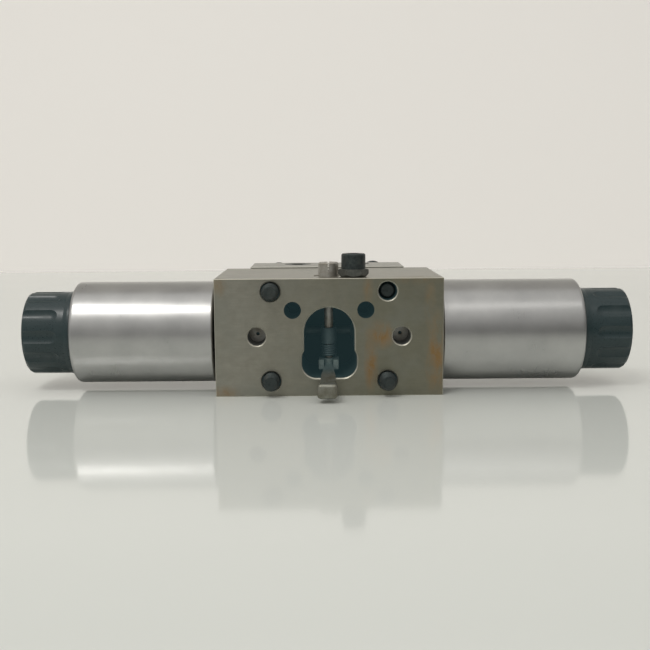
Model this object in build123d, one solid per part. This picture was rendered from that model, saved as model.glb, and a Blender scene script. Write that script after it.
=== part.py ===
from build123d import *
from math import cos, radians, sin
import os

# Solenoid directional valve with a mechanical feedback lever.
# Millimetres. Origin: centre of the bolt pattern on the mating face.
# +X along the spool to the right-hand solenoid, +Y into the valve, +Z up.

# valve housing
HOUSING_W = 80.0
HOUSING_D = 50.0
HOUSING_BOTTOM = -21.2
HOUSING_TOP = 20.3
EDGE_CHAMFER = 0.2
MOUTH_CHAMFER = 0.4

# spool axis
AXIS_Y = 20.5
AXIS_Z = -0.7

# bolt pattern
BOLT_X = 20.45
BOLT_Z = 15.75
BOLT_HOLE_R = 3.3

# ports on the mating face
CONTROL_X = 12.8
CONTROL_Z = 9.2
CONTROL_R = 3.0
CONTROL_DEPTH = 24.0
CONTROL_REAR_R = 2.5
SUPPLY_X = 25.4
SUPPLY_R = 3.2
SUPPLY_DEPTH = 8.0
SUPPLY_DRILL_R = 1.6
ORIFICE_R = 2.95
ORIFICE_T = 1.5
ORIFICE_BORE_R = 0.45

# feedback cavity
CAVITY_R = 8.86
CAVITY_ARC_Z = 1.3
CAVITY_FLOOR = -14.85
CAVITY_LOBE_W = 19.4
CAVITY_LOBE_H = 12.0
CAVITY_LOBE_R = 5.2
CAVITY_DEPTH = 28.0

# spool and its bore
BORE_R = 5.02
BORE_END = 31.0
LAND_R = 5.0
STEM_R = 1.7
COLLAR_R = 3.5
COLLAR_IN = 1.25
COLLAR_OUT = 2.35
SPOOL_END = 31.4
CONTROL_GROOVE = (10.8, 14.8, 8.5)
SUPPLY_GROOVE = (23.4, 27.5, 8.0)

# solenoid socket in the housing
CHAMBER_R = 7.5
SOCKET_START = 33.5
SOCKET_R = 11.03
SEAL_SEAT_START = 38.1
SEAL_SEAT_R = 12.0

# pivot of the feedback linkage
PIVOT_Y = 11.2
PIVOT_HEAD_R = 3.6
PIVOT_HEAD_UP = 4.9
PIVOT_SLOT_W = 0.7
PIVOT_SLOT_DEPTH = 2.9
PIVOT_PIN_R = 1.575
PIVOT_TAIL_R = 1.35
PIVOT_STEP_Z = 1.65
PIVOT_END_Z = -14.5
PIVOT_SPOT_FACE_R = 5.3
LINK_BORE_R = 1.4

# driver lever, torsion spring and feedback lever
DRIVER_R = 2.8
DRIVER_TOP = 1.6
DRIVER_BOTTOM = -4.0
FINGER_R = 1.2
FINGER_Y = 17.5
SPRING_R = 2.32
SPRING_WIRE_R = 0.47
SPRING_TURNS = 5
SPRING_BOTTOM = -9.1
HUB_R = 3.6
HUB_TOP = -9.2
HUB_BOTTOM = -13.6
LEVER_REST = -2.1
HEAD_W = 7.0
HEAD_Y0 = -13.6
HEAD_Y1 = -9.2
HEAD_Z0 = -19.6
HEAD_Z1 = -14.4
HEAD_FILLET = 1.3

# lock screw and its hexagonal washer
LOCK_X = 8.7
LOCK_Y = 5.7
LOCK_WASHER_AF = 9.4
LOCK_WASHER_T = 2.9
LOCK_WASHER_BEVEL = 0.4
LOCK_WASHER_UNDERCUT = 1.1
LOCK_HEAD_R = 4.25
LOCK_HEAD_H = 5.3

# rear body
REAR_W = 61.4
REAR_D = 24.0
REAR_TOP = 20.85
REAR_BOTTOM = -20.8
GAUGE_X = 12.0
GAUGE_Y = 66.0
GAUGE_R = 4.9
GAUGE_FLANGE_R = 5.4
FACE_SEAL_SEAT_R = 5.2

# mounting screws: how far each tip stands out of the mating face
SCREW_LENGTH = 79.0
SCREW_R = 3.0
SCREW_PITCH = 1.0
SCREW_THREAD = 22.0
SCREW_GROOVE = 0.42
SCREW_TIP_R = 2.15
SCREW_TIP_CONE = 1.0
SCREW_TIPS = {
    (-1, 1): 4.9,
    (1, 1): -2.6,
    (-1, -1): 4.6,
    (1, -1): 5.0,
}

# solenoid, measured along +X from the valve centre
COIL_R = 18.5
COIL_START = 40.25
COIL_END = 91.2
COIL_RIM = 0.8
CAN_WALL = 1.6
CAN_END_T = 2.4
PLATE_END = 47.0
PLATE_BORE_R = 13.1
LEFT_STAND_OFF = 0.75
TUBE_R = 9.5
TUBE_BORE_R = 7.6
TUBE_END = 103.3
TUBE_THREAD_R = 9.0
NOSE_R = 11.0
NOSE_START = 33.6
COLLAR_AF = 22.0
COLLAR_X1 = 44.0
POLE_FACE = 47.5
ROD_R = 2.0
ARMATURE_R = 7.55
ARMATURE_START = 50.0
ARMATURE_END = 80.0
STOP_START = 83.0
PLUNGER_END = 102.3

# ribbed nut
NUT_START = 91.3
NUT_END = 108.8
NUT_R = 15.0
NUT_FLARE_R = 15.5
NUT_FLUTES = 12
NUT_FLUTE_START = 98.5
NUT_FLUTE_R = 4.4
NUT_FLUTE_DEPTH = 0.8
NUT_TURNS = {"right": 32.0, "left": 31.5}
NUT_HOLE_R = 6.5

# electrical connector on the back of each coil
PLUG_X = 66.0
PLUG_W = 17.5
PLUG_H = 13.0
PLUG_BASE_Y = 43.0
PLUG_END_Y = 60.0
PIN_PITCH = 4.5

LOW = (Align.CENTER, Align.CENTER, Align.MIN)


def along_x(radius, x0, x1, y=AXIS_Y, z=AXIS_Z):
    return Location((x0, y, z), (0, 90, 0)) * Cylinder(radius, x1 - x0, align=LOW)


def along_y(radius, y0, y1, x, z):
    return Location((x, y0, z), (-90, 0, 0)) * Cylinder(radius, y1 - y0, align=LOW)


def along_z(radius, z0, z1, x, y):
    return Location((x, y, z0)) * Cylinder(radius, z1 - z0, align=LOW)


def block(x0, x1, y0, y1, z0, z1):
    middle = ((x0 + x1) / 2, (y0 + y1) / 2, (z0 + z1) / 2)
    return Location(middle) * Box(x1 - x0, y1 - y0, z1 - z0)


def turned_x(profile, y=AXIS_Y, z=AXIS_Z):
    face = make_face(Polyline(*profile, close=True))
    return Location((0, y, z)) * revolve(face, Axis.X, 360)


def turned_z(profile, x, y):
    face = Plane.XZ * make_face(Polyline(*profile, close=True))
    return Location((x, y, 0)) * revolve(face, Axis.Z, 360)


def hexagon_x(across_flats, x0, x1):
    sketch = RegularPolygon(across_flats / 2, 6, major_radius=False)
    return Location((x0, AXIS_Y, AXIS_Z), (0, 90, 0)) * extrude(sketch, x1 - x0)


def hexagon_z(across_flats, z0, z1, x, y):
    sketch = RegularPolygon(across_flats / 2, 6, major_radius=False)
    return Location((x, y, z0)) * extrude(sketch, z1 - z0)


def ring_x(ring_r, section_r, x, y=AXIS_Y, z=AXIS_Z):
    return Location((x, y, z), (0, 90, 0)) * Torus(ring_r, section_r)


def other_side(shape):
    return mirror(shape, about=Plane.YZ)


def cavity():
    """Keyhole opening in the mating face that the feedback lever swings in."""
    slot = block(-CAVITY_R, CAVITY_R, -1, CAVITY_DEPTH, CAVITY_FLOOR + 5, CAVITY_ARC_Z)
    arch = along_y(CAVITY_R, -1, CAVITY_DEPTH, 0, CAVITY_ARC_Z)
    lobe = extrude(RectangleRounded(CAVITY_LOBE_W, CAVITY_LOBE_H, CAVITY_LOBE_R), CAVITY_DEPTH + 1)
    centre_z = CAVITY_FLOOR + CAVITY_LOBE_H / 2
    lobe = Location((0, -1, centre_z), (-90, 0, 0)) * lobe
    return slot + arch + lobe


def socket():
    """Bore end, drain chamber, tube thread and seal seat of the right-hand solenoid."""
    cut = along_x(CHAMBER_R, BORE_END, SOCKET_START)
    cut += along_x(SOCKET_R, SOCKET_START, HOUSING_W / 2 + 1)
    cut += along_x(SEAL_SEAT_R, SEAL_SEAT_START, HOUSING_W / 2 + 1)
    for x0, x1, radius in (CONTROL_GROOVE, SUPPLY_GROOVE):
        cut += along_x(radius, x0, x1)
    return cut


def break_mouths(body):
    """Chamfers the mouths in the mating face, apart from the small control ports."""
    face = body.faces().sort_by(Axis.Y)[0]
    mouths = [w for w in face.inner_wires() if w.bounding_box().size.X > 2 * CONTROL_R + 0.1]
    return chamfer([edge for wire in mouths for edge in wire.edges()], MOUTH_CHAMFER)


def valve_housing():
    body = block(-HOUSING_W / 2, HOUSING_W / 2, 0, HOUSING_D, HOUSING_BOTTOM, HOUSING_TOP)
    body = chamfer(body.edges(), EDGE_CHAMFER)
    body -= along_x(BORE_R, -BORE_END - 1, BORE_END + 1)
    right = socket()
    body -= right
    body -= other_side(right)
    for side in (-1, 1):
        for level in (-1, 1):
            x, z = side * BOLT_X, level * BOLT_Z
            body -= along_y(BOLT_HOLE_R, -1, HOUSING_D + 1, x, z)
        x = side * CONTROL_X
        body -= along_y(CONTROL_R, -1, CONTROL_DEPTH, x, CONTROL_Z)
        body -= along_y(CONTROL_REAR_R, 0, HOUSING_D + 1, x, CONTROL_Z)
        x = side * SUPPLY_X
        body -= along_y(SUPPLY_R, -1, SUPPLY_DEPTH, x, 0)
        body -= along_y(ORIFICE_R, 0, SUPPLY_DEPTH + ORIFICE_T, x, 0)
        body -= along_y(SUPPLY_DRILL_R, 0, AXIS_Y - 6.5, x, 0)
    body -= cavity()
    body = break_mouths(body)
    body -= along_z(PIVOT_HEAD_R + 0.03, 5, HOUSING_TOP + 1, 0, PIVOT_Y)
    body -= along_z(PIVOT_SPOT_FACE_R, HOUSING_TOP - 0.25, HOUSING_TOP + 1, 0, PIVOT_Y)
    body -= along_z(2.53, HOUSING_TOP - 7, HOUSING_TOP + 1, LOCK_X, LOCK_Y)
    return body


def rear_body():
    body = block(-REAR_W / 2, REAR_W / 2, HOUSING_D, HOUSING_D + REAR_D, REAR_BOTTOM, REAR_TOP)
    body = chamfer(body.edges(), EDGE_CHAMFER)
    for side in (-1, 1):
        for level in (-1, 1):
            x, z = side * BOLT_X, level * BOLT_Z
            body -= along_y(BOLT_HOLE_R, HOUSING_D - 1, HOUSING_D + REAR_D + 1, x, z)
        x = side * CONTROL_X
        body -= along_y(CONTROL_REAR_R, HOUSING_D - 1, GAUGE_Y, x, CONTROL_Z)
        body -= along_y(FACE_SEAL_SEAT_R, HOUSING_D - 1, HOUSING_D + 1.5, x, CONTROL_Z)
        x = side * GAUGE_X
        body -= along_z(GAUGE_R, REAR_TOP - 10, REAR_TOP + 1, x, GAUGE_Y)
        body -= along_z(GAUGE_FLANGE_R + 0.15, REAR_TOP - 1.0, REAR_TOP + 1, x, GAUGE_Y)
    return body


def passage_seals():
    rings = []
    for side in (-1, 1):
        spot = Location((side * CONTROL_X, HOUSING_D + 0.72, CONTROL_Z), (90, 0, 0))
        rings.append(spot * Torus(4.3, 0.7))
    return Compound(children=rings)


def gauge_port_plug(x):
    plug = along_z(GAUGE_R - 0.02, REAR_TOP - 8, REAR_TOP - 0.9, x, GAUGE_Y)
    plug += along_z(GAUGE_FLANGE_R, REAR_TOP - 0.98, REAR_TOP - 0.1, x, GAUGE_Y)
    plug -= hexagon_z(5.0, REAR_TOP - 4.5, REAR_TOP + 1, x, GAUGE_Y)
    return plug


def supply_orifice(x):
    disc = along_y(ORIFICE_R - 0.01, SUPPLY_DEPTH, SUPPLY_DEPTH + ORIFICE_T, x, 0)
    disc -= along_y(ORIFICE_BORE_R, 0, SUPPLY_DEPTH + ORIFICE_T + 1, x, 0)
    lead_in = Cone(ORIFICE_BORE_R + 0.2, ORIFICE_BORE_R, 0.2, align=LOW)
    return disc - Location((x, SUPPLY_DEPTH, 0), (-90, 0, 0)) * lead_in


def screw_thread():
    """Outline points (length, radius) of the ring-grooved thread behind a coned tip."""
    points = [(0, 0), (0, SCREW_TIP_R), (SCREW_TIP_CONE, SCREW_R)]
    for turn in range(int((SCREW_THREAD - SCREW_TIP_CONE) / SCREW_PITCH)):
        here = SCREW_TIP_CONE + turn * SCREW_PITCH
        points.append((here + 0.1 * SCREW_PITCH, SCREW_R))
        points.append((here + 0.5 * SCREW_PITCH, SCREW_R - SCREW_GROOVE))
        points.append((here + 0.9 * SCREW_PITCH, SCREW_R))
    return points + [(SCREW_THREAD, SCREW_R), (SCREW_THREAD, 0)]


def mounting_screw():
    """Socket cap screw along +Y with its tip at y = 0 and its head at the far end."""
    screw = revolve(make_face(Polyline(*screw_thread(), close=True)), Axis.X, 360)
    screw += along_x(SCREW_R - 0.05, SCREW_THREAD, SCREW_LENGTH, 0, 0)
    head = along_x(5.0, SCREW_LENGTH, SCREW_LENGTH + 6, 0, 0)
    head = chamfer(head.edges().sort_by(Axis.X)[-1], 0.5)
    key = extrude(RegularPolygon(2.5, 6, major_radius=False), 4)
    key = Location((SCREW_LENGTH + 3, 0, 0), (0, 90, 0)) * key
    return Location((0, 0, 0), (0, 0, 90)) * (screw + head - key)


def mounting_screws():
    screw = mounting_screw()
    placed = []
    for (side, level), proud in SCREW_TIPS.items():
        placed.append(Location((side * BOLT_X, -proud, level * BOLT_Z)) * screw)
    return Compound(children=placed)


def pivot_screw():
    top = HOUSING_TOP + PIVOT_HEAD_UP
    profile = [
        (0, PIVOT_END_Z),
        (PIVOT_TAIL_R - 0.2, PIVOT_END_Z),
        (PIVOT_TAIL_R, PIVOT_END_Z + 0.2),
        (PIVOT_TAIL_R, -14.25),
        (PIVOT_TAIL_R - 0.35, -14.25),
        (PIVOT_TAIL_R - 0.35, -13.65),
        (PIVOT_TAIL_R, -13.65),
        (PIVOT_TAIL_R, PIVOT_STEP_Z),
        (PIVOT_PIN_R, PIVOT_STEP_Z + 0.15),
        (PIVOT_PIN_R, 10.6),
        (PIVOT_HEAD_R, 10.9),
        (PIVOT_HEAD_R, 15.0),
        (PIVOT_HEAD_R - 1.0, 15.0),
        (PIVOT_HEAD_R - 1.0, 16.2),
        (PIVOT_HEAD_R, 16.2),
        (PIVOT_HEAD_R, top - 0.4),
        (PIVOT_HEAD_R - 0.4, top),
        (0, top),
    ]
    screw = turned_z(profile, 0, PIVOT_Y)
    half, floor = PIVOT_SLOT_W / 2, top - PIVOT_SLOT_DEPTH
    return screw - block(-half, half, PIVOT_Y - 5, PIVOT_Y + 5, floor, top + 1)


def pivot_seal():
    return Location((0, PIVOT_Y, 15.6)) * Torus(PIVOT_HEAD_R - 0.48, 0.49)


def pivot_clip():
    clip = along_z(2.9, -14.2, -13.7, 0, PIVOT_Y)
    clip -= along_z(PIVOT_TAIL_R - 0.34, -15, -13, 0, PIVOT_Y)
    return clip - block(-0.8, 0.8, PIVOT_Y, PIVOT_Y + 4, -15, -13)


def lock_washer():
    low, high = HOUSING_TOP, HOUSING_TOP + LOCK_WASHER_T
    flat_r = LOCK_WASHER_AF / 2 - 0.1
    rim_r = flat_r + 2 * LOCK_WASHER_BEVEL
    profile = [
        (0, low),
        (rim_r - LOCK_WASHER_UNDERCUT, low),
        (rim_r, low + LOCK_WASHER_UNDERCUT),
        (rim_r, high - LOCK_WASHER_BEVEL),
        (flat_r, high),
        (0, high),
    ]
    washer = hexagon_z(LOCK_WASHER_AF, low, high, LOCK_X, LOCK_Y)
    washer &= turned_z(profile, LOCK_X, LOCK_Y)
    return washer - along_z(2.65, low - 1, high + 1, LOCK_X, LOCK_Y)


def lock_screw():
    seat = HOUSING_TOP + LOCK_WASHER_T + 0.02
    screw = along_z(LOCK_HEAD_R, seat, seat + LOCK_HEAD_H, LOCK_X, LOCK_Y)
    screw = chamfer(screw.edges().sort_by(Axis.Z)[-1], 0.4)
    screw += along_z(2.5, HOUSING_TOP - 6.5, seat, LOCK_X, LOCK_Y)
    return screw - hexagon_z(4.0, seat + 2.5, seat + LOCK_HEAD_H + 1, LOCK_X, LOCK_Y)


def spool():
    half = [
        (0, STEM_R),
        (COLLAR_IN, STEM_R),
        (COLLAR_IN, COLLAR_R),
        (COLLAR_OUT, COLLAR_R),
        (COLLAR_OUT, STEM_R),
        (8.2, STEM_R),
        (8.8, 3.0),
        (CONTROL_GROOVE[0] - 0.4, 3.0),
        (CONTROL_GROOVE[0] - 0.4, LAND_R),
        (CONTROL_GROOVE[1] + 0.4, LAND_R),
        (CONTROL_GROOVE[1] + 0.4, 3.2),
        (SUPPLY_GROOVE[1] + 0.5, 3.2),
        (SUPPLY_GROOVE[1] + 0.5, LAND_R),
        (SPOOL_END - 0.3, LAND_R),
        (SPOOL_END, LAND_R - 0.3),
        (SPOOL_END, 0),
    ]
    right = turned_x([(0, 0)] + half)
    return right + other_side(right)


def driver_lever():
    """Sleeve on the pivot pin whose finger sits between the spool's collars."""
    lever = along_z(DRIVER_R, DRIVER_BOTTOM, DRIVER_TOP, 0, PIVOT_Y)
    lever += block(-0.8, 0.8, PIVOT_Y, FINGER_Y, AXIS_Z - 1.5, AXIS_Z + 1.5)
    lever += along_z(FINGER_R, AXIS_Z - 1.5, AXIS_Z + 1.5, 0, FINGER_Y)
    lever -= along_z(LINK_BORE_R, DRIVER_BOTTOM - 1, DRIVER_TOP + 1, 0, PIVOT_Y)
    return lever - block(1.75, 3.5, PIVOT_Y - 0.6, PIVOT_Y + 0.6, DRIVER_BOTTOM - 1, DRIVER_BOTTOM + 1.6)


def torsion_spring():
    """Close coils on the pivot pin with a straight tang at each end."""
    pitch = (DRIVER_BOTTOM - SPRING_BOTTOM - 2 * SPRING_WIRE_R - 0.1) / SPRING_TURNS
    start_z = SPRING_BOTTOM + SPRING_WIRE_R
    path = Helix(pitch, pitch * SPRING_TURNS, SPRING_R)
    wire = Plane(origin=path @ 0, z_dir=path % 0) * Circle(SPRING_WIRE_R)
    coil = Location((0, PIVOT_Y, start_z)) * sweep(wire, path=path)
    end_z = start_z + pitch * SPRING_TURNS
    upper = along_z(SPRING_WIRE_R, end_z, end_z + 1.6, SPRING_R, PIVOT_Y)
    lower = along_z(SPRING_WIRE_R, start_z - 1.9, start_z, SPRING_R, PIVOT_Y)
    return coil + upper + lower


def lever_arm():
    """Arm that leaves the hub, passes over the cavity's sill and drops to the head."""
    reach = HEAD_Y1 - 1.8
    plan = [(-0.9, 9), (-2.5, -1), (-2.8, reach), (2.8, reach), (2.5, -1), (0.9, 9)]
    plan = Location((0, 0, -25)) * extrude(make_face(Polyline(*plan, close=True)), 25)
    side = [(9, -10.2), (-11, -16.8), (-11, -18.6), (-1.2, -14.7), (9, -13.4)]
    side = extrude(Plane.YZ * make_face(Polyline(*side, close=True)), 5, both=True)
    return plan & side


def feedback_lever():
    hub = along_z(HUB_R, HUB_BOTTOM, HUB_TOP, 0, PIVOT_Y)
    for side in (-1, 1):
        x0, x1 = sorted((side * 1.7, side * 3.5))
        hub += block(x0, x1, 5.2, PIVOT_Y, HUB_BOTTOM + 1.0, HUB_TOP)
    head = block(-HEAD_W / 2, HEAD_W / 2, HEAD_Y0, HEAD_Y1, HEAD_Z0, HEAD_Z1)
    head = fillet(head.edges(), HEAD_FILLET)
    lever = hub + lever_arm() + head
    lever -= along_z(LINK_BORE_R, HUB_BOTTOM - 1, HUB_TOP + 1, 0, PIVOT_Y)
    lever = Location((0, PIVOT_Y, 0), (0, 0, LEVER_REST)) * (Location((0, -PIVOT_Y, 0)) * lever)
    notch = block(1.75, 4.5, PIVOT_Y - 0.6, PIVOT_Y + 0.6, HUB_TOP - 1.9, HUB_TOP + 1)
    return lever - notch


def pole_tube():
    """Threaded pole piece, hexagon and armature tube of one solenoid, welded up."""
    profile = [
        (NOSE_START, ROD_R + 1.3),
        (NOSE_START, NOSE_R - 0.8),
        (NOSE_START + 0.8, NOSE_R),
        (SEAL_SEAT_START - 0.1, NOSE_R),
        (SEAL_SEAT_START - 0.1, 10.0),
        (COLLAR_X1, 10.0),
        (COLLAR_X1, TUBE_R),
        (COIL_END - 0.5, TUBE_R),
        (COIL_END - 0.5, TUBE_THREAD_R),
        (TUBE_END - 0.6, TUBE_THREAD_R),
        (TUBE_END, TUBE_THREAD_R - 0.6),
        (TUBE_END, TUBE_BORE_R),
        (POLE_FACE, TUBE_BORE_R),
        (POLE_FACE, ROD_R + 0.05),
        (NOSE_START + 4.4, ROD_R + 0.05),
        (NOSE_START + 4.4, ROD_R + 1.3),
    ]
    tube = turned_x(profile)
    collar = hexagon_x(COLLAR_AF, HOUSING_W / 2 + 0.05, COLLAR_X1)
    return tube + (collar - along_x(9.9, 39, COLLAR_X1 + 1))


def rod_bush():
    bush = along_x(ROD_R + 1.28, NOSE_START, NOSE_START + 4.38)
    return bush - along_x(ROD_R + 0.03, NOSE_START - 1, NOSE_START + 5)


def tube_seal():
    return ring_x(10.95, 0.9, 39.08)


def gap_disc():
    disc = along_x(6.9, POLE_FACE, POLE_FACE + 0.25)
    return disc - along_x(ROD_R + 0.4, POLE_FACE - 1, POLE_FACE + 1)


def armature():
    body = along_x(ARMATURE_R, ARMATURE_START, ARMATURE_END)
    body = chamfer(body.edges().filter_by(GeomType.CIRCLE), 0.4)
    for side in (-1, 1):
        z = AXIS_Z + side * 7.2
        body -= block(ARMATURE_START - 1, ARMATURE_END + 1, AXIS_Y - 0.9, AXIS_Y + 0.9, z - 0.9, z + 0.9)
    body -= along_x(ROD_R, ARMATURE_START - 1, ARMATURE_START + 8)
    return body - along_x(ROD_R, ARMATURE_END - 6, ARMATURE_END + 1)


def push_rod():
    return along_x(ROD_R, SPOOL_END + 0.05, ARMATURE_START + 7.9)


def override_plunger():
    plunger = along_x(ROD_R, ARMATURE_END - 5.9, PLUNGER_END)
    return chamfer(plunger.edges().sort_by(Axis.X)[-1], 0.4)


def end_stop():
    stop = along_x(TUBE_BORE_R - 0.02, STOP_START, TUBE_END - 0.8)
    stop -= along_x(ROD_R + 0.05, STOP_START - 1, TUBE_END)
    stop -= along_x(3.3, 98.0, 99.4)
    return chamfer(stop.edges().filter_by(GeomType.CIRCLE).sort_by(Axis.X)[-1], 0.3)


def plunger_seal():
    return ring_x(ROD_R + 0.64, 0.62, 98.7)


def coil_can():
    """Deep-drawn steel can, closed at its outer end, with a window for the connector."""
    can = along_x(COIL_R, COIL_START, COIL_END)
    rims = can.edges().filter_by(GeomType.CIRCLE).sort_by(Axis.X)
    can = fillet(rims[0], COIL_RIM)
    can = fillet(can.edges().filter_by(GeomType.CIRCLE).sort_by(Axis.X)[-1], 1.5)
    can -= along_x(COIL_R - CAN_WALL, COIL_START - 1, COIL_END - CAN_END_T)
    can -= along_x(TUBE_R + 0.1, COIL_END - 3, COIL_END + 1)
    return can - block(PLUG_X - 7.6, PLUG_X + 7.6, AXIS_Y + 10, AXIS_Y + 20, AXIS_Z - 4.85, AXIS_Z + 4.85)


def coil_inner_plate():
    """Turned end ring pressed into the can next to the housing."""
    plate = along_x(COIL_R - CAN_WALL - 0.02, COIL_START + 0.1, PLATE_END)
    plate -= along_x(PLATE_BORE_R, COIL_START - 1, COLLAR_X1 + 0.4)
    plate -= along_x(TUBE_R + 0.1, COLLAR_X1, PLATE_END + 1)
    groove = along_x(16.3, COIL_START - 1, COIL_START + 1.65)
    groove -= along_x(14.1, COIL_START - 2, COIL_START + 2)
    return plate - groove


def coil_seal():
    return ring_x(15.2, 0.9, COIL_START + 0.7)


def coil_bobbin():
    outer = COIL_R - CAN_WALL - 0.3
    start, end = PLATE_END + 0.1, COIL_END - CAN_END_T - 0.1
    bobbin = along_x(outer, start, end)
    bobbin -= along_x(outer + 1, start + 2, end - 2) - along_x(TUBE_R + 1.3, start, end)
    return bobbin - along_x(TUBE_R + 0.08, start - 1, end + 1)


def coil_winding():
    outer = COIL_R - CAN_WALL - 0.8
    winding = along_x(outer, PLATE_END + 2.15, COIL_END - CAN_END_T - 2.15)
    return winding - along_x(TUBE_R + 1.35, PLATE_END, COIL_END)


def connector_housing():
    """Two-pin plug shroud moulded on the back of the coil."""
    neck = block(PLUG_X - 7.5, PLUG_X + 7.5, AXIS_Y + 16, PLUG_BASE_Y, AXIS_Z - 4.75, AXIS_Z + 4.75)
    saddle = block(PLUG_X - 11, PLUG_X + 11, AXIS_Y + 12, PLUG_BASE_Y, AXIS_Z - 8, AXIS_Z + 8)
    saddle = fillet(saddle.edges().filter_by(Axis.Y), 3.0)
    saddle -= along_x(COIL_R + 0.02, PLUG_X - 20, PLUG_X + 20)
    shroud = Location((PLUG_X, PLUG_BASE_Y - 0.5, AXIS_Z), (-90, 0, 0)) * extrude(
        RectangleRounded(PLUG_W, PLUG_H, 3.0), PLUG_END_Y - PLUG_BASE_Y + 0.5
    )
    cup = Location((PLUG_X, PLUG_BASE_Y + 1.5, AXIS_Z), (-90, 0, 0)) * extrude(
        RectangleRounded(PLUG_W - 3.2, PLUG_H - 3.2, 2.0), 20
    )
    catch = block(PLUG_X - 2.2, PLUG_X + 2.2, PLUG_END_Y - 8, PLUG_END_Y - 5, 5.5, 7.2)
    catch = chamfer(catch.edges().group_by(Axis.Z)[-1].filter_by(Axis.X), 0.9)
    rib = block(PLUG_X - 0.7, PLUG_X + 0.7, PLUG_BASE_Y - 0.2, PLUG_END_Y - 3, -8.4, -6.8)
    neck -= along_x(COIL_R - CAN_WALL - 0.1, PLUG_X - 20, PLUG_X + 20)
    body = neck + saddle + shroud - cup + catch + rib
    for side in (-1, 1):
        body -= along_y(0.8, 30, 50, PLUG_X + side * PIN_PITCH / 2, AXIS_Z)
    return body


def connector_pins():
    pins = []
    for side in (-1, 1):
        pin = along_y(0.79, 37.8, 54.0, PLUG_X + side * PIN_PITCH / 2, AXIS_Z)
        pins.append(chamfer(pin.edges().sort_by(Axis.Y)[-1], 0.3))
    return Compound(children=pins)


def coil_nut(flute_turn):
    """Ribbed plastic nut that clamps the coil on the tube; flutes start past a collar."""
    profile = [
        (NUT_START, TUBE_THREAD_R + 0.05),
        (NUT_START, NUT_FLARE_R),
        (NUT_START + 1.2, NUT_FLARE_R - 0.1),
        (NUT_START + 2.6, NUT_R),
        (NUT_END - 1.3, NUT_R),
        (NUT_END - 0.4, NUT_R - 0.5),
        (NUT_END, NUT_R - 1.4),
        (NUT_END, NUT_HOLE_R + 1.0),
        (NUT_END - 1.0, NUT_HOLE_R),
        (TUBE_END + 0.5, NUT_HOLE_R),
        (TUBE_END + 0.5, TUBE_THREAD_R + 0.05),
    ]
    nut = turned_x(profile)
    for index in range(NUT_FLUTES):
        angle = radians(flute_turn + index * 360 / NUT_FLUTES)
        reach = NUT_R - NUT_FLUTE_DEPTH + NUT_FLUTE_R
        y = AXIS_Y - reach * cos(angle)
        z = AXIS_Z + reach * sin(angle)
        nut -= along_x(NUT_FLUTE_R, NUT_FLUTE_START, NUT_END + 1, y, z)
        nut -= Location((NUT_FLUTE_START, y, z)) * Sphere(NUT_FLUTE_R)
    groove = along_x(12.9, NUT_START - 1, NUT_START + 1.5)
    groove -= along_x(10.9, NUT_START - 2, NUT_START + 2)
    return nut - groove


def nut_seal():
    return ring_x(11.9, 0.75, NUT_START + 0.74)


def write(name, shape):
    shape.label = name
    export_step(shape, f"parts/{name}.step")


def single(shape):
    """A plain one-solid shape, so that each file holds exactly the solid."""
    solids = shape.solids()
    return solids[0] if len(solids) == 1 else Compound(children=list(solids))


def write_pair(name, right, stand_off=0.0):
    """Writes a right-hand solid and its mirror image, which may stand further out."""
    write(f"{name}_right", single(right))
    write(f"{name}_left", single(other_side(Location((stand_off, 0, 0)) * right)))


def main():
    os.makedirs("parts", exist_ok=True)
    for maker in (
        valve_housing,
        rear_body,
        passage_seals,
        mounting_screws,
        pivot_screw,
        pivot_seal,
        pivot_clip,
        lock_washer,
        lock_screw,
        spool,
        driver_lever,
        torsion_spring,
        feedback_lever,
    ):
        write(maker.__name__, single(maker()))
    write_pair("gauge_port_plug", gauge_port_plug(GAUGE_X))
    write_pair("supply_orifice", supply_orifice(SUPPLY_X))
    for maker in (
        pole_tube,
        rod_bush,
        tube_seal,
        gap_disc,
        armature,
        push_rod,
        override_plunger,
        end_stop,
        plunger_seal,
    ):
        write_pair(maker.__name__, maker())
    for maker in (
        coil_can,
        coil_inner_plate,
        coil_seal,
        coil_bobbin,
        coil_winding,
        connector_housing,
        connector_pins,
        nut_seal,
    ):
        write_pair(maker.__name__, maker(), LEFT_STAND_OFF)
    write("coil_nut_right", coil_nut(NUT_TURNS["right"]))
    write("coil_nut_left", other_side(Location((LEFT_STAND_OFF, 0, 0)) * coil_nut(NUT_TURNS["left"])))


main()
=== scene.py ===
import math

import bpy
from mathutils import Matrix, Vector


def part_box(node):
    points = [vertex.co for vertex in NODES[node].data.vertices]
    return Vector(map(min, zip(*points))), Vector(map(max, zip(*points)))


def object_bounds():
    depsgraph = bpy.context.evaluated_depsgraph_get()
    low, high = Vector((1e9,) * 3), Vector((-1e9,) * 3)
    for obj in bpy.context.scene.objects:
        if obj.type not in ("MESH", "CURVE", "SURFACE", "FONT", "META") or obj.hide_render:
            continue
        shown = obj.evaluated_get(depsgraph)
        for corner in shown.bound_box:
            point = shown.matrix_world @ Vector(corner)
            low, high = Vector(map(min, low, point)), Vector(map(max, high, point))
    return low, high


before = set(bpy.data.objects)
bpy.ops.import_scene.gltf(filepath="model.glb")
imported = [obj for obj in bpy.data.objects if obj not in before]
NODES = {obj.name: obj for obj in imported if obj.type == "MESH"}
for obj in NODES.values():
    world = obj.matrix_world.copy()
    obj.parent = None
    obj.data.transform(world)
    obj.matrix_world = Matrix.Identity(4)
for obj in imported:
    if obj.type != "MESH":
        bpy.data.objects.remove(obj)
cad_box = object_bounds()
MM = 0.001
SIDES = ("left", "right")


# ---------------------------------------------------------------- materials
# Colours are linear RGB, noise scales are features per metre, places and sizes are in mm.

SPOT_CORE = 0.25


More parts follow.
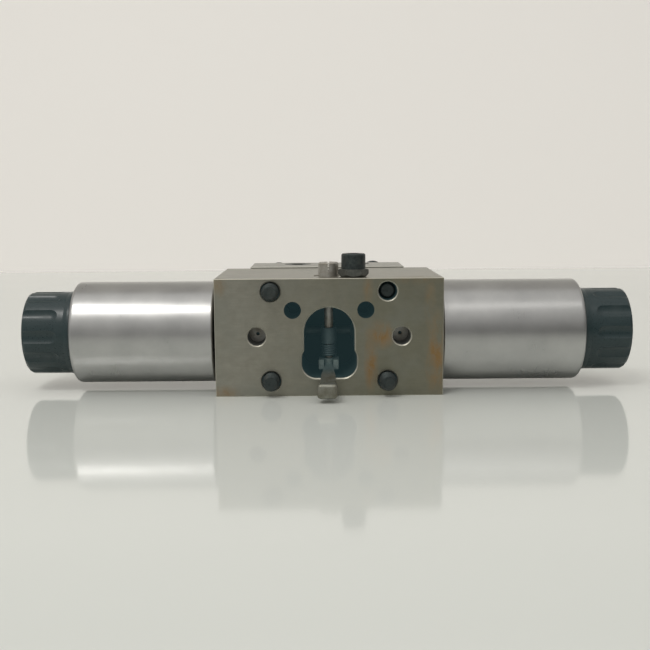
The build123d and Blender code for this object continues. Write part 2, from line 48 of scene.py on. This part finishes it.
class Surface:
    """A node material: one Principled shader and short helpers for what feeds it."""

    def __init__(self, name, **sockets):
        self.material = bpy.data.materials.new(name)
        self.material.use_nodes = True
        self.tree = self.material.node_tree
        self.tree.nodes.clear()
        self.output = self.tree.nodes.new("ShaderNodeOutputMaterial")
        self.shader = self.tree.nodes.new("ShaderNodeBsdfPrincipled")
        self.tree.links.new(self.shader.outputs[0], self.output.inputs["Surface"])
        self.place = self.tree.nodes.new("ShaderNodeTexCoord").outputs["Object"]
        for socket, value in sockets.items():
            self.shader.inputs[socket.replace("_", " ")].default_value = value

    def node(self, kind, inputs=None, **settings):
        made = self.tree.nodes.new(kind)
        for key, value in settings.items():
            setattr(made, key, value)
        for key, value in (inputs or {}).items():
            if isinstance(value, bpy.types.NodeSocket):
                self.tree.links.new(value, made.inputs[key])
            else:
                made.inputs[key].default_value = value
        return made

    def feed(self, socket, value):
        self.tree.links.new(value, self.shader.inputs[socket])

    def axes(self):
        """The object's X, Y and Z in metres, as three sockets."""
        return self.node("ShaderNodeSeparateXYZ", {0: self.place}).outputs

    def stretched(self, x, y, z):
        return self.node("ShaderNodeMapping", {"Vector": self.place, "Scale": (x, y, z)}).outputs[0]

    def noise(self, vector, scale, detail=4.0, roughness=0.55, distortion=0.0):
        inputs = {"Vector": vector, "Scale": scale, "Detail": detail}
        inputs.update({"Roughness": roughness, "Distortion": distortion})
        return self.node("ShaderNodeTexNoise", inputs).outputs["Fac"]

    def ramp(self, factor, low, high, start=0.0, end=1.0):
        """Maps factor from low..high to start..end with clamped ends."""
        inputs = {"Value": factor, "From Min": low, "From Max": high, "To Min": start, "To Max": end}
        return self.node("ShaderNodeMapRange", inputs).outputs[0]

    def spread(self, noise, start=0.0, end=1.0):
        """Maps the range that holds most of a noise's values to start..end."""
        return self.ramp(noise, 0.3, 0.7, start, end)

    def math(self, operation, a, b):
        return self.node("ShaderNodeMath", {0: a, 1: b}, operation=operation).outputs[0]

    def times(self, a, b):
        return self.math("MULTIPLY", a, b)

    def mix(self, factor, a, b):
        made = self.node("ShaderNodeMix", {0: factor, 6: a, 7: b}, data_type="RGBA")
        return made.outputs[2]

    def bump(self, height, strength, distance):
        sizes = {"Strength": strength, "Distance": distance * MM}
        self.feed("Normal", self.node("ShaderNodeBump", {"Height": height, **sizes}).outputs[0])

    def spot(self, centre, radii):
        """1 at a place in the object, fading to 0 at an ellipsoid round it."""
        offset = self.node(
            "ShaderNodeVectorMath",
            {0: self.place, 1: tuple(c * MM for c in centre)},
            operation="SUBTRACT",
        ).outputs[0]
        scaled = self.node(
            "ShaderNodeVectorMath",
            {0: offset, 1: tuple(1 / (r * MM) for r in radii)},
            operation="MULTIPLY",
        ).outputs[0]
        length = self.node("ShaderNodeVectorMath", {0: scaled}, operation="LENGTH").outputs["Value"]
        return self.ramp(length, SPOT_CORE, 1.0, 1.0, 0.0)


RECESS_RUN = 0.3
BLACK = (0.0, 0.0, 0.0, 1.0)


def shade(colour, factor=1.0):
    """A socket's colour from a linear RGB triple, made lighter or darker by factor."""
    return (*(factor * c for c in colour), 1.0)


def cast(colour, filter_colour):
    """A colour seen through a filter of another colour."""
    return tuple(c * f for c, f in zip(colour, filter_colour))


def wear_mask(s, scale, low, high):
    """Patchy 0..1 mask for marks and handling wear."""
    return s.ramp(s.noise(s.place, scale, 6.0, 0.65), low, high)


def recess_mask(s, low, high):
    """1 inside a body bounded by the corners low and high, 0 on its outer faces."""
    mask = None
    for socket, start, end in zip(s.axes(), low, high):
        for bound, run in ((start, RECESS_RUN), (end, -RECESS_RUN)):
            side = s.ramp(socket, (bound + run) * MM, (bound + 2 * run) * MM)
            mask = side if mask is None else s.times(mask, side)
    return mask


def bevel_highlight_mask(s):
    """1 on faces that lean 45 degrees from the mating face, such as chamfered mouths and edges, which get
    a painted highlight.
    """
    normal = s.node("ShaderNodeNewGeometry").outputs["True Normal"]
    lean = s.node("ShaderNodeSeparateXYZ", {0: normal}).outputs[1]
    return s.times(s.ramp(lean, -0.50, -0.60), s.ramp(lean, -0.90, -0.80))


def reflection_mask(s):
    """A painted reflection: 0 at the left of the mating face, rising to 1 right of its middle, 0 on every
    other face.
    """
    across, depth, _ = s.axes()
    return s.times(s.ramp(across, -30 * MM, 16 * MM), s.ramp(depth, 0.5 * MM, 1.5 * MM, 1.0, 0.0))


def rust_mask(s, spots):
    """Blotchy rust, strongest at the spots."""
    strongest = None
    for centre, radii, amount in spots:
        here = s.times(s.spot(centre, radii), amount)
        strongest = here if strongest is None else s.math("MAXIMUM", strongest, here)
    blotches = s.noise(s.stretched(1.6, 1, 0.7), 170.0, 6.0, 0.7, 0.6)
    return s.times(strongest, s.ramp(blotches, 0.36, 0.6))


STEEL_METALLIC = 0.85
# The olive tint of a painted reflection on the right of the mating face.
REFLECTED_OLIVE_CAST = (0.84, 0.85, 0.76)
BROWN_CAST = (0.66, 0.62, 0.56)
GRIND_MARK = (0.10, 0.10, 0.085)
STEEL_CLOUD = (0.26, 0.27, 0.235)
RUST = (0.275, 0.165, 0.062)
# Recesses: an oil film and painted shade darken them, and a faint painted glow lifts them to blue-green.
RECESS_OIL_AND_SHADE = (0.035, 0.055, 0.055)
RECESS_GLOW = (0.009, 0.0185, 0.020)
# Round the supply ports' holes the recesses take a lighter painted shade and a weaker painted glow.
PORT_RECESS_SHADE = (0.12, 0.12, 0.11)
PORT_GLOW = (0.008, 0.008, 0.007)
PORT_SHADE_RADII = (12, 30, 12)


def ground_steel(name, tint, rust_spots, low, high, lighter_ports):
    """Surface-ground steel: faint grain along X, soft mottling, local rust, recesses darkened by oil and
    painted shade, with a faint painted glow.
    """
    s = Surface(name, Metallic=STEEL_METALLIC, Emission_Strength=1.0)
    grain = s.noise(s.stretched(6, 260, 260), 14.0, 6.0, 0.7)
    cloud = s.noise(s.place, 70.0, 4.0, 0.6)
    mottle = s.spread(s.noise(s.stretched(0.7, 1, 1), 330.0, 4.0, 0.65))
    # The mating face is painted lighter at the left and takes an olive painted reflection at the right.
    reflection_tint = cast(tint, REFLECTED_OLIVE_CAST)
    left = s.mix(mottle, shade(tint, 1.02), shade(tint, 1.24))
    right = s.mix(mottle, shade(reflection_tint, 0.86), shade(reflection_tint))
    colour = s.mix(reflection_mask(s), left, right)
    colour = s.mix(s.spread(grain, 0.16, 0.0), colour, shade(GRIND_MARK))
    colour = s.mix(s.ramp(cloud, 0.45, 0.72, 0.0, 0.5), colour, shade(STEEL_CLOUD))
    deep = recess_mask(s, low, high)
    rough = s.ramp(grain, 0.2, 0.8, 0.32, 0.42)
    if rust_spots:
        rust = rust_mask(s, rust_spots)
        colour = s.mix(rust, colour, shade(RUST))
        rough = s.math("ADD", rough, s.times(rust, 0.25))
        metallic = s.ramp(rust, 0.0, 0.6, STEEL_METALLIC, 0.45)
        s.feed("Metallic", s.times(metallic, s.ramp(deep, 0.0, 1.0, 1.0, 0.55)))
    # Chamfered faces are painted lighter, a painted highlight.
    colour = s.mix(bevel_highlight_mask(s), colour, shade(tint, 1.9))
    # Inside the recesses: oil and painted shade in the base colour, a painted glow in the emission.
    oil_and_shade, glow = shade(RECESS_OIL_AND_SHADE), shade(RECESS_GLOW)
    # Lighter painted shade and weaker painted glow round the supply ports.
    for port in lighter_ports:
        port_area = s.spot(port, PORT_SHADE_RADII)
        oil_and_shade = s.mix(port_area, oil_and_shade, shade(PORT_RECESS_SHADE))
        glow = s.mix(port_area, glow, shade(PORT_GLOW))
    s.feed("Base Color", s.mix(deep, colour, oil_and_shade))
    s.feed("Emission Color", s.mix(deep, BLACK, glow))
    s.feed("Roughness", s.math("MAXIMUM", rough, s.times(deep, 0.62)))
    s.bump(grain, 0.12, 0.03)
    return s.material


def plated_can():
    """Satin zinc plating with rolled-in haze, faint scratches and dull smudges."""
    s = Surface("coil_can_plating", Metallic=1.0)
    haze = s.noise(s.place, 60.0, 5.0, 0.6)
    lines = s.noise(s.stretched(700, 20, 20), 4.0, 4.0, 0.6)
    scratch = s.noise(s.stretched(40, 160, 160), 12.0, 2.0, 0.4, 1.6)
    colour = s.mix(s.ramp(haze, 0.35, 0.7), shade((0.43, 0.43, 0.425)), shade((0.52, 0.52, 0.51)))
    colour = s.mix(s.ramp(scratch, 0.70, 0.76, 0.0, 0.35), colour, shade((0.36, 0.36, 0.37)))
    s.feed("Base Color", colour)
    s.feed("Roughness", s.math("ADD", s.ramp(haze, 0.3, 0.75, 0.27, 0.36), s.spread(lines, -0.02, 0.02)))
    s.bump(lines, 0.12, 0.02)
    return s.material


def bright_turned(name, colour, roughness):
    """Turned or drawn bright metal with fine rings across its axis."""
    s = Surface(name, Metallic=1.0)
    rings = s.noise(s.stretched(900, 30, 30), 3.0, 3.0, 0.5)
    haze = s.noise(s.place, 120.0, 4.0, 0.6)
    s.feed("Base Color", s.mix(s.ramp(haze, 0.35, 0.7), shade(colour, 0.78), shade(colour)))
    s.feed("Roughness", s.spread(rings, roughness - 0.06, roughness + 0.08))
    s.bump(rings, 0.15, 0.02)
    return s.material


def black_oxide(name, dark, light):
    """Black-oxided steel with oil sheen and faint brown worn patches."""
    s = Surface(name, Metallic=0.75)
    fine = s.noise(s.place, 900.0, 4.0, 0.6)
    worn = s.times(wear_mask(s, 260.0, 0.5, 0.72), 0.25)
    colour = s.mix(s.spread(fine), shade(dark), shade(light))
    s.feed("Base Color", s.mix(worn, colour, shade((0.16, 0.14, 0.11))))
    s.feed("Roughness", s.spread(fine, 0.42, 0.58))
    s.bump(fine, 0.2, 0.03)
    return s.material


# A faint painted glow on parts inside the cavity.
CAVITY_GLOW = (0.008, 0.016, 0.0175)


def worn_steel(name, colour, inner=None, metallic=0.9, smooth=0.32):
    """Handled bare steel: burnished high spots and a film in the low ones.

    Behind the mating face it takes the colour inner, which stands for oil and painted shade, and a faint
    painted glow, if one is given.
    """
    s = Surface(name, Metallic=metallic)
    film = s.noise(s.place, 240.0, 6.0, 0.65)
    burnished = s.ramp(film, 0.38, 0.62)
    tone = s.mix(burnished, shade(cast(colour, BROWN_CAST)), shade(colour))
    if inner is not None:
        behind_face = s.ramp(s.axes()[1], -1 * MM, 3 * MM)
        wet_and_shaded = s.mix(burnished, shade(inner, 0.75), shade(inner))
        tone = s.mix(behind_face, tone, wet_and_shaded)
        s.shader.inputs["Emission Strength"].default_value = 1.0
        s.feed("Emission Color", s.mix(behind_face, BLACK, shade(CAVITY_GLOW)))
    s.feed("Base Color", tone)
    s.feed("Roughness", s.spread(film, smooth + 0.16, smooth))
    s.bump(s.noise(s.place, 1600.0, 3.0, 0.6), 0.25, 0.03)
    return s.material


def nut_plastic():
    """Glass-filled black polyamide, semi-gloss, with a faint green-blue cast."""
    s = Surface("nut_plastic", Metallic=0.0, IOR=1.5)
    grain = s.noise(s.place, 2600.0, 3.0, 0.6)
    scuff = wear_mask(s, 150.0, 0.52, 0.75)
    colour = s.mix(s.spread(grain), shade((0.012, 0.028, 0.031)), shade((0.021, 0.043, 0.046)))
    s.feed("Base Color", s.mix(s.times(scuff, 0.35), colour, shade((0.055, 0.075, 0.075))))
    s.feed("Roughness", s.math("ADD", s.spread(grain, 0.26, 0.34), s.times(scuff, 0.18)))
    s.bump(grain, 0.2, 0.03)
    return s.material


def moulded(name, dark, light, roughness):
    """Fine-textured moulded plastic or rubber."""
    s = Surface(name, Metallic=0.0)
    grain = s.noise(s.place, 1900.0, 4.0, 0.6)
    cloud = s.noise(s.place, 140.0, 3.0, 0.6)
    s.feed("Base Color", s.mix(s.ramp(cloud, 0.35, 0.65), shade(dark), shade(light)))
    s.feed("Roughness", s.spread(grain, roughness - 0.07, roughness + 0.07))
    s.bump(grain, 0.25, 0.04)
    return s.material


def copper_wire():
    """Enamelled copper, wound in close turns across X."""
    s = Surface("copper_wire", Metallic=1.0)
    turns = s.node(
        "ShaderNodeTexWave",
        {"Vector": s.place, "Scale": 620.0, "Distortion": 0.4, "Detail": 1.0},
        bands_direction="X",
    ).outputs["Fac"]
    s.feed("Base Color", s.mix(turns, shade((0.28, 0.09, 0.035)), shade((0.72, 0.33, 0.17))))
    s.feed("Roughness", s.ramp(turns, 0.0, 1.0, 0.45, 0.25))
    s.bump(turns, 0.6, 0.1)
    return s.material


# ---------------------------------------------------------------- finish of every piece

HOUSING_TINT = (0.30, 0.29, 0.245)
REAR_BODY_TINT = (0.34, 0.335, 0.30)
HOUSING_RUST = (
    # centre, radii, amount
    ((18.0, 0.0, 0.5), (6.0, 6.0, 6.0), 0.95),
    ((14.6, 0.0, -9.5), (2.8, 5.0, 12.5), 1.0),
    ((37.4, 0.0, -7.0), (4.4, 8.0, 18.0), 0.95),
    ((35.2, 0.0, 12.0), (2.4, 5.0, 12.0), 0.45),
    ((13.6, 0.0, 16.5), (2.2, 5.0, 7.0), 0.5),
    ((-38.6, 0.0, 18.0), (3.8, 8.0, 5.0), 0.5),
    ((-37.0, 0.0, -20.5), (6.5, 6.0, 4.0), 0.55),
    ((31.0, 2.0, 20.0), (12.0, 8.0, 2.6), 0.4),
)
BARE_STEEL = (0.29, 0.295, 0.255)
# Steel behind the mating face, darkened by oil and by painted shade.
DAMP_SHADED_STEEL = (0.20, 0.245, 0.235)
OILED_SHADED_STEEL = (0.095, 0.13, 0.135)
OILED_SHADED_SPOOL = (0.10, 0.13, 0.125)


def paint(names, material):
    for name in names:
        mesh = NODES[name].data
        mesh.materials.clear()
        mesh.materials.append(material)


def both(*names):
    return [f"{name}_{side}" for name in names for side in SIDES]


def finish_blocks():
    """The two steel blocks, with less painted shade and a weaker painted glow in the supply ports' holes
    than in the other recesses.
    """
    ports = [sum(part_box(name), Vector()) / 2 / MM for name in both("supply_orifice")]
    for node, tint, rust_spots, lighter_ports in (
        ("valve_housing", HOUSING_TINT, HOUSING_RUST, ports),
        ("rear_body", REAR_BODY_TINT, (), ()),
    ):
        low, high = (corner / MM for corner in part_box(node))
        paint([node], ground_steel(f"{node}_steel", tint, rust_spots, low, high, lighter_ports))


def finish_steel_parts():
    """Screws, levers, spring and spool."""
    black = black_oxide("black_oxide_steel", (0.034, 0.043, 0.044), (0.068, 0.082, 0.08))
    paint(["mounting_screws", "lock_screw", *both("gauge_port_plug")], black)
    paint(["lock_washer"], black_oxide("lock_washer_steel", (0.085, 0.09, 0.082), (0.14, 0.145, 0.13)))
    paint(["feedback_lever"], worn_steel("burnished_steel", BARE_STEEL, DAMP_SHADED_STEEL, 0.8, 0.42))
    # Parts inside the cavity are darkened by oil and by painted shade.
    cavity_steel = worn_steel("oiled_shaded_steel", OILED_SHADED_STEEL, OILED_SHADED_STEEL, 0.55, 0.5)
    paint(["driver_lever", "pivot_clip"], cavity_steel)
    paint(["torsion_spring"], worn_steel("spring_wire", OILED_SHADED_STEEL, OILED_SHADED_STEEL, 0.6, 0.45))
    paint(["spool"], worn_steel("spool_steel", OILED_SHADED_STEEL, OILED_SHADED_SPOOL, 0.5, 0.55))
    paint(both("supply_orifice"), worn_steel("orifice_steel", (0.34, 0.34, 0.32)))
    paint(["pivot_screw"], worn_steel("pivot_steel", (0.50, 0.49, 0.455), None, 0.55, 0.42))


def finish_solenoids():
    """Coils, nuts, connectors and what is inside the tubes."""
    for names, name, colour, roughness in (
        (both("push_rod", "override_plunger"), "ground_pin_steel", (0.62, 0.61, 0.59), 0.22),
        (both("pole_tube", "end_stop"), "tube_steel", (0.58, 0.58, 0.59), 0.3),
        (both("armature"), "armature_iron", (0.48, 0.48, 0.49), 0.3),
        (both("coil_inner_plate"), "turned_plate", (0.74, 0.74, 0.73), 0.24),
        (both("rod_bush"), "sintered_bronze", (0.55, 0.38, 0.18), 0.4),
        (both("gap_disc"), "rolled_brass", (0.72, 0.58, 0.28), 0.3),
        (both("connector_pins"), "tinned_pins", (0.74, 0.74, 0.72), 0.25),
    ):
        paint(names, bright_turned(name, colour, roughness))
    paint(both("coil_can"), plated_can())
    paint(both("coil_nut"), nut_plastic())
    paint(both("coil_winding"), copper_wire())
    seals = ["passage_seals", "pivot_seal", *both("tube_seal", "plunger_seal", "coil_seal", "nut_seal")]
    for names, name, dark, light, roughness in (
        (both("coil_bobbin"), "bobbin_plastic", (0.05, 0.05, 0.05), (0.08, 0.08, 0.08), 0.5),
        (both("connector_housing"), "connector_plastic", (0.018, 0.018, 0.02), (0.03, 0.03, 0.032), 0.45),
        (seals, "seal_rubber", (0.012, 0.012, 0.012), (0.022, 0.022, 0.022), 0.6),
    ):
        paint(names, moulded(name, dark, light, roughness))


# ---------------------------------------------------------------- stage, light, camera

FLOOR_Z = cad_box[0].z
FLOOR_FRONT_Y = -2.0
STAGE_HALF_WIDTH = 3.0
WALL_Y = 0.60
WALL_TOP_Z = 2.2


def white_gloss():
    """A polished white table, darker towards its front edge, there most of all to the right."""
    s = Surface("white_gloss_table", Metallic=0.0, IOR=1.55)
    cloud = s.noise(s.place, 3.0, 3.0, 0.5)
    x, y, _ = s.axes()
    shaded = s.times(s.ramp(x, -0.08, 0.15, 0.08, 0.5), s.ramp(y, -0.36, -0.27, 1.0, 0.0))
    pale = s.mix(cloud, shade((0.77, 0.795, 0.755)), shade((0.795, 0.82, 0.78)))
    s.feed("Base Color", s.mix(shaded, pale, BLACK))
    s.feed("Roughness", s.spread(cloud, 0.05, 0.09))
    return s.material


def pale_wall():
    """A backdrop that glows a little, as lit from behind, and falls off above the picture."""
    s = Surface("pale_wall", Metallic=0.0, Roughness=0.9, Emission_Strength=0.42)
    cloud = s.noise(s.place, 2.0, 2.0, 0.5)
    tone = s.mix(cloud, shade((0.715, 0.69, 0.655)), shade((0.73, 0.705, 0.67)))
    tone = s.mix(s.ramp(s.axes()[2], 0.25, 0.36, 0.0, 0.32), tone, BLACK)
    s.feed("Base Color", tone)
    s.feed("Emission Color", tone)
    return s.material


def make_stage():
    near = [(-STAGE_HALF_WIDTH, FLOOR_FRONT_Y, FLOOR_Z), (STAGE_HALF_WIDTH, FLOOR_FRONT_Y, FLOOR_Z)]
    far = [(STAGE_HALF_WIDTH, WALL_Y, FLOOR_Z), (-STAGE_HALF_WIDTH, WALL_Y, FLOOR_Z)]
    top = [(-STAGE_HALF_WIDTH, WALL_Y, WALL_TOP_Z), (STAGE_HALF_WIDTH, WALL_Y, WALL_TOP_Z)]
    for name, corners, material in (
        ("table_top", near + far, white_gloss()),
        ("back_wall", far + top, pale_wall()),
    ):
        mesh = bpy.data.meshes.new(name)
        mesh.from_pydata(corners, [], [(0, 1, 2, 3)])
        mesh.materials.append(material)
        piece = bpy.data.objects.new(name, mesh)
        bpy.context.scene.collection.objects.link(piece)


ROOM_COLOUR = (1.0, 0.985, 0.955)
ROOM_LIGHT = (
    # axis of the view direction, its range, strength at each end of the range
    ("Z", 0.0, 0.75, 0.10, 0.66),
    ("Y", -0.2, 0.9, 0.0, 0.12),
    ("X", -0.35, 0.35, 0.22, 0.0),
)
LAMP_COLOUR = (1.0, 0.98, 0.95)
LAMPS = (
    # name, place, what it points at, width, height (m), power (W)
    ("key", (-0.33, -0.46, 0.86), (-0.03, 0.02, 0), 0.34, 0.15, 2.3),
    ("fill", (0.27, -0.44, 0.87), (0.05, 0.02, 0), 0.4, 0.16, 0.20),
)


def make_world():
    """Room light: dim behind the camera and to its right, brighter overhead and behind the part."""
    world = bpy.data.worlds.new("studio")
    bpy.context.scene.world = world
    world.use_nodes = True
    tree = world.node_tree
    sky = tree.nodes["Background"]
    way = tree.nodes.new("ShaderNodeTexCoord").outputs["Generated"]
    split = tree.nodes.new("ShaderNodeSeparateXYZ")
    tree.links.new(way, split.inputs[0])
    total = None
    for axis, low, high, start, end in ROOM_LIGHT:
        part = tree.nodes.new("ShaderNodeMapRange")
        tree.links.new(split.outputs[axis], part.inputs["Value"])
        for socket, value in (("From Min", low), ("From Max", high), ("To Min", start), ("To Max", end)):
            part.inputs[socket].default_value = value
        if total is None:
            total = part.outputs[0]
            continue
        add = tree.nodes.new("ShaderNodeMath")
        add.operation = "ADD"
        tree.links.new(total, add.inputs[0])
        tree.links.new(part.outputs[0], add.inputs[1])
        total = add.outputs[0]
    sky.inputs["Color"].default_value = (*ROOM_COLOUR, 1.0)
    tree.links.new(total, sky.inputs["Strength"])


def make_lamps():
    """One long soft lamp above and in front to the left, and a weak one to the right."""
    for name, place, target, width, height, power in LAMPS:
        lamp = bpy.data.lights.new(name, "AREA")
        lamp.shape = "RECTANGLE"
        lamp.size, lamp.size_y = width, height
        lamp.energy = power
        lamp.color = LAMP_COLOUR
        holder = bpy.data.objects.new(name, lamp)
        holder.location = place
        holder.rotation_euler = (Vector(target) - Vector(place)).to_track_quat("-Z", "Y").to_euler()
        bpy.context.scene.collection.objects.link(holder)
    bpy.context.scene.view_settings.view_transform = "Standard"


CAMERA_AT = Vector((-4.4, -316.5, 46.8)) * MM
CAMERA_PITCH = math.radians(7.70)
CAMERA_YAW = math.radians(0.53)
CAMERA_ROLL = math.radians(-0.39)
FIELD_OF_VIEW = 2 * math.atan(0.3548)


def make_camera():
    """A level look along +Y, pitched down, with the small yaw and roll of a hand-held shot."""
    lens = bpy.data.cameras.new("camera")
    lens.sensor_fit = "HORIZONTAL"
    lens.angle = FIELD_OF_VIEW
    lens.clip_start, lens.clip_end = 0.01, 20.0
    holder = bpy.data.objects.new("camera", lens)
    ahead = Vector((math.sin(CAMERA_YAW), math.cos(CAMERA_YAW), 0))
    level_right = Vector((math.cos(CAMERA_YAW), -math.sin(CAMERA_YAW), 0))
    look = ahead * math.cos(CAMERA_PITCH) - Vector((0, 0, 1)) * math.sin(CAMERA_PITCH)
    level_up = level_right.cross(look)
    right = level_right * math.cos(CAMERA_ROLL) + level_up * math.sin(CAMERA_ROLL)
    up = right.cross(look)
    turn = Matrix((right, up, -look)).transposed().to_4x4()
    holder.matrix_world = Matrix.Translation(CAMERA_AT) @ turn
    bpy.context.scene.collection.objects.link(holder)
    bpy.context.scene.camera = holder


finish_blocks()
finish_steel_parts()
finish_solenoids()
make_stage()
make_world()
make_lamps()
make_camera()
